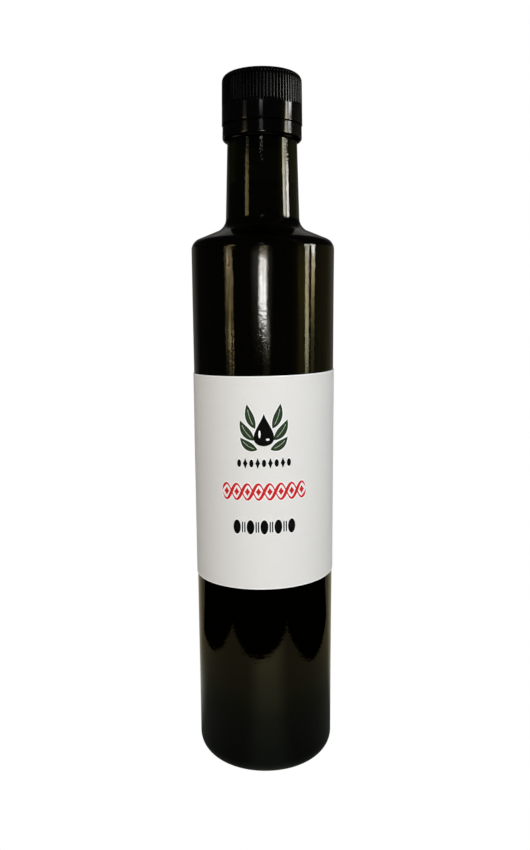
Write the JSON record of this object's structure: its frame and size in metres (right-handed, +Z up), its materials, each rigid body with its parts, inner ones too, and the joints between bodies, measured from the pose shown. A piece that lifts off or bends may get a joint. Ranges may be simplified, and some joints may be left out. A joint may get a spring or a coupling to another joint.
{
  "type": "olive oil bottle",
  "caption": "Tall cylindrical bottle of dark glass, full of olive oil, with a short straight neck, a wrapped paper label and a ribbed screw cap above a tamper band.",
  "frame": {"origin": "middle of the bottle's footprint, on the surface it stands on", "axes": "+Z up along the bottle's axis, -Y towards the middle of the label"},
  "size_m": [0.0608, 0.0604, 0.294],
  "materials": {
    "dark_glass": "polished, very dark olive green, nearly black where it is filled",
    "olive_oil": "clear golden green oil",
    "cap_plastic": "moulded black plastic with a soft gloss",
    "label_paper": null
  },
  "bodies": {
    "root": {"bottle": "dark_glass", "oil": "olive_oil", "cap": "cap_plastic", "tamper_band": "cap_plastic", "label": "label_paper"}
  },
  "joints": []
}
